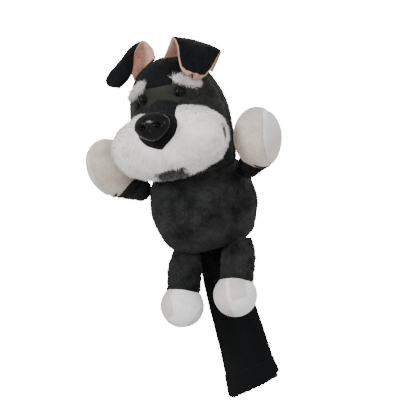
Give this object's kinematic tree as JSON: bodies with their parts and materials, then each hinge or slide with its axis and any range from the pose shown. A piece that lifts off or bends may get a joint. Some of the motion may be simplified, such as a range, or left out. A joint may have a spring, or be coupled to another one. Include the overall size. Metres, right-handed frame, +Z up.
{
  "type": "driver head cover",
  "caption": "Plush terrier golf club head cover with a padded pocket, a long knitted sock with an elastic neck, and hanging legs, raised paws and folded ears.",
  "frame": {"origin": "middle of the sock's mouth, on the shaft's axis", "axes": "+Z up the shaft towards the club head, -Y out of the dog's face, +X to the right as seen from in front"},
  "size_m": [0.2726, 0.1978, 0.4872],
  "materials": {
    "sock_knit": "fine rib knit",
    "lining_cloth": "smooth woven lining",
    "elastic": "ribbed elastic tape",
    "charcoal_plush": "short dense pile",
    "black_plush": "short dense pile",
    "grey_plush": "short dense pile",
    "dark_plush": "short dense pile",
    "white_shag": "long shaggy pile",
    "brow_shag": "long shaggy pile",
    "padding_foam": "soft needled padding",
    "fibre_fill": "loose fibre filling",
    "nose_plastic": "polished",
    "eye_plastic": "polished",
    "washer_plastic": "moulded",
    "patch_felt": "felt",
    "pink_plush": "short dense pile",
    "cream_plush": "short dense pile",
    "white_plush": "short dense pile"
  },
  "bodies": {
    "cover": {"brow_left": "brow_shag", "brow_right": "brow_shag", "cheek_left": "white_shag", "cheek_right": "white_shag", "chin": "dark_plush", "crown_panel": "black_plush", "eye_left": "eye_plastic", "eye_patch_left": "patch_felt", "eye_patch_right": "patch_felt", "eye_right": "eye_plastic", "eye_washer_left": "washer_plastic", "eye_washer_right": "washer_plastic", "face_panel": "grey_plush", "head_back": "charcoal_plush", "head_stuffing": "fibre_fill", "muzzle_bridge": "black_plush", "muzzle_stuffing": "fibre_fill", "neck_elastic": "elastic", "nose": "nose_plastic", "nose_washer": "washer_plastic", "pocket_lining_back": "lining_cloth", "pocket_lining_front": "lining_cloth", "seat_panel": "charcoal_plush", "sock": "sock_knit", "sock_cuff": "sock_knit", "sock_lining": "lining_cloth", "torso_back": "charcoal_plush", "torso_front": "charcoal_plush", "torso_padding": "padding_foam"},
    "arm_left": {"sleeve_left": "charcoal_plush", "sleeve_stuffing_left": "fibre_fill", "paw_left": "cream_plush", "paw_sole_left": "cream_plush", "paw_stuffing_left": "fibre_fill"},
    "arm_right": {"sleeve_right": "charcoal_plush", "sleeve_stuffing_right": "fibre_fill", "paw_right": "cream_plush", "paw_sole_right": "cream_plush", "paw_stuffing_right": "fibre_fill"},
    "leg_left": {"leg_left": "charcoal_plush", "leg_stuffing_left": "fibre_fill", "foot_left": "white_plush", "foot_stuffing_left": "fibre_fill"},
    "leg_right": {"leg_right": "charcoal_plush", "leg_stuffing_right": "fibre_fill", "foot_right": "white_plush", "foot_stuffing_right": "fibre_fill"},
    "ear_left": {"ear_left_outer": "black_plush", "ear_left_lining": "pink_plush"},
    "ear_right": {"ear_right_outer": "black_plush", "ear_right_lining": "pink_plush"}
  },
  "joints": [
    {"name": "shoulder_left", "type": "hinge", "parent": "cover", "child": "arm_left", "pos_m": [-0.07789, -0.00965, 0.29057], "axis": [0, -1, 0], "range_deg": [-5, 45], "stiffness_Nm_per_rad": 0.35},
    {"name": "shoulder_right", "type": "hinge", "parent": "cover", "child": "arm_right", "pos_m": [0.07789, -0.00965, 0.29057], "axis": [0, 1, 0], "range_deg": [-5, 45], "stiffness_Nm_per_rad": 0.35},
    {"name": "hip_left", "type": "hinge", "parent": "cover", "child": "leg_left", "pos_m": [-0.033, -0.031, 0.1935], "axis": [-1, 0, 0], "range_deg": [0, 50], "stiffness_Nm_per_rad": 0.25},
    {"name": "hip_right", "type": "hinge", "parent": "cover", "child": "leg_right", "pos_m": [0.043, -0.031, 0.1935], "axis": [-1, 0, 0], "range_deg": [0, 50], "stiffness_Nm_per_rad": 0.25},
    {"name": "ear_left_fold", "type": "hinge", "parent": "cover", "child": "ear_left", "pos_m": [-0.02652, 0.00424, 0.45226], "axis": [-0.6149, 0.7054, -0.3526], "range_deg": [-5, 15], "stiffness_Nm_per_rad": 0.06},
    {"name": "ear_right_fold", "type": "hinge", "parent": "cover", "child": "ear_right", "pos_m": [0.03395, -0.00106, 0.44816], "axis": [-0.7569, -0.4226, 0.4986], "range_deg": [-5, 15], "stiffness_Nm_per_rad": 0.06}
  ]
}
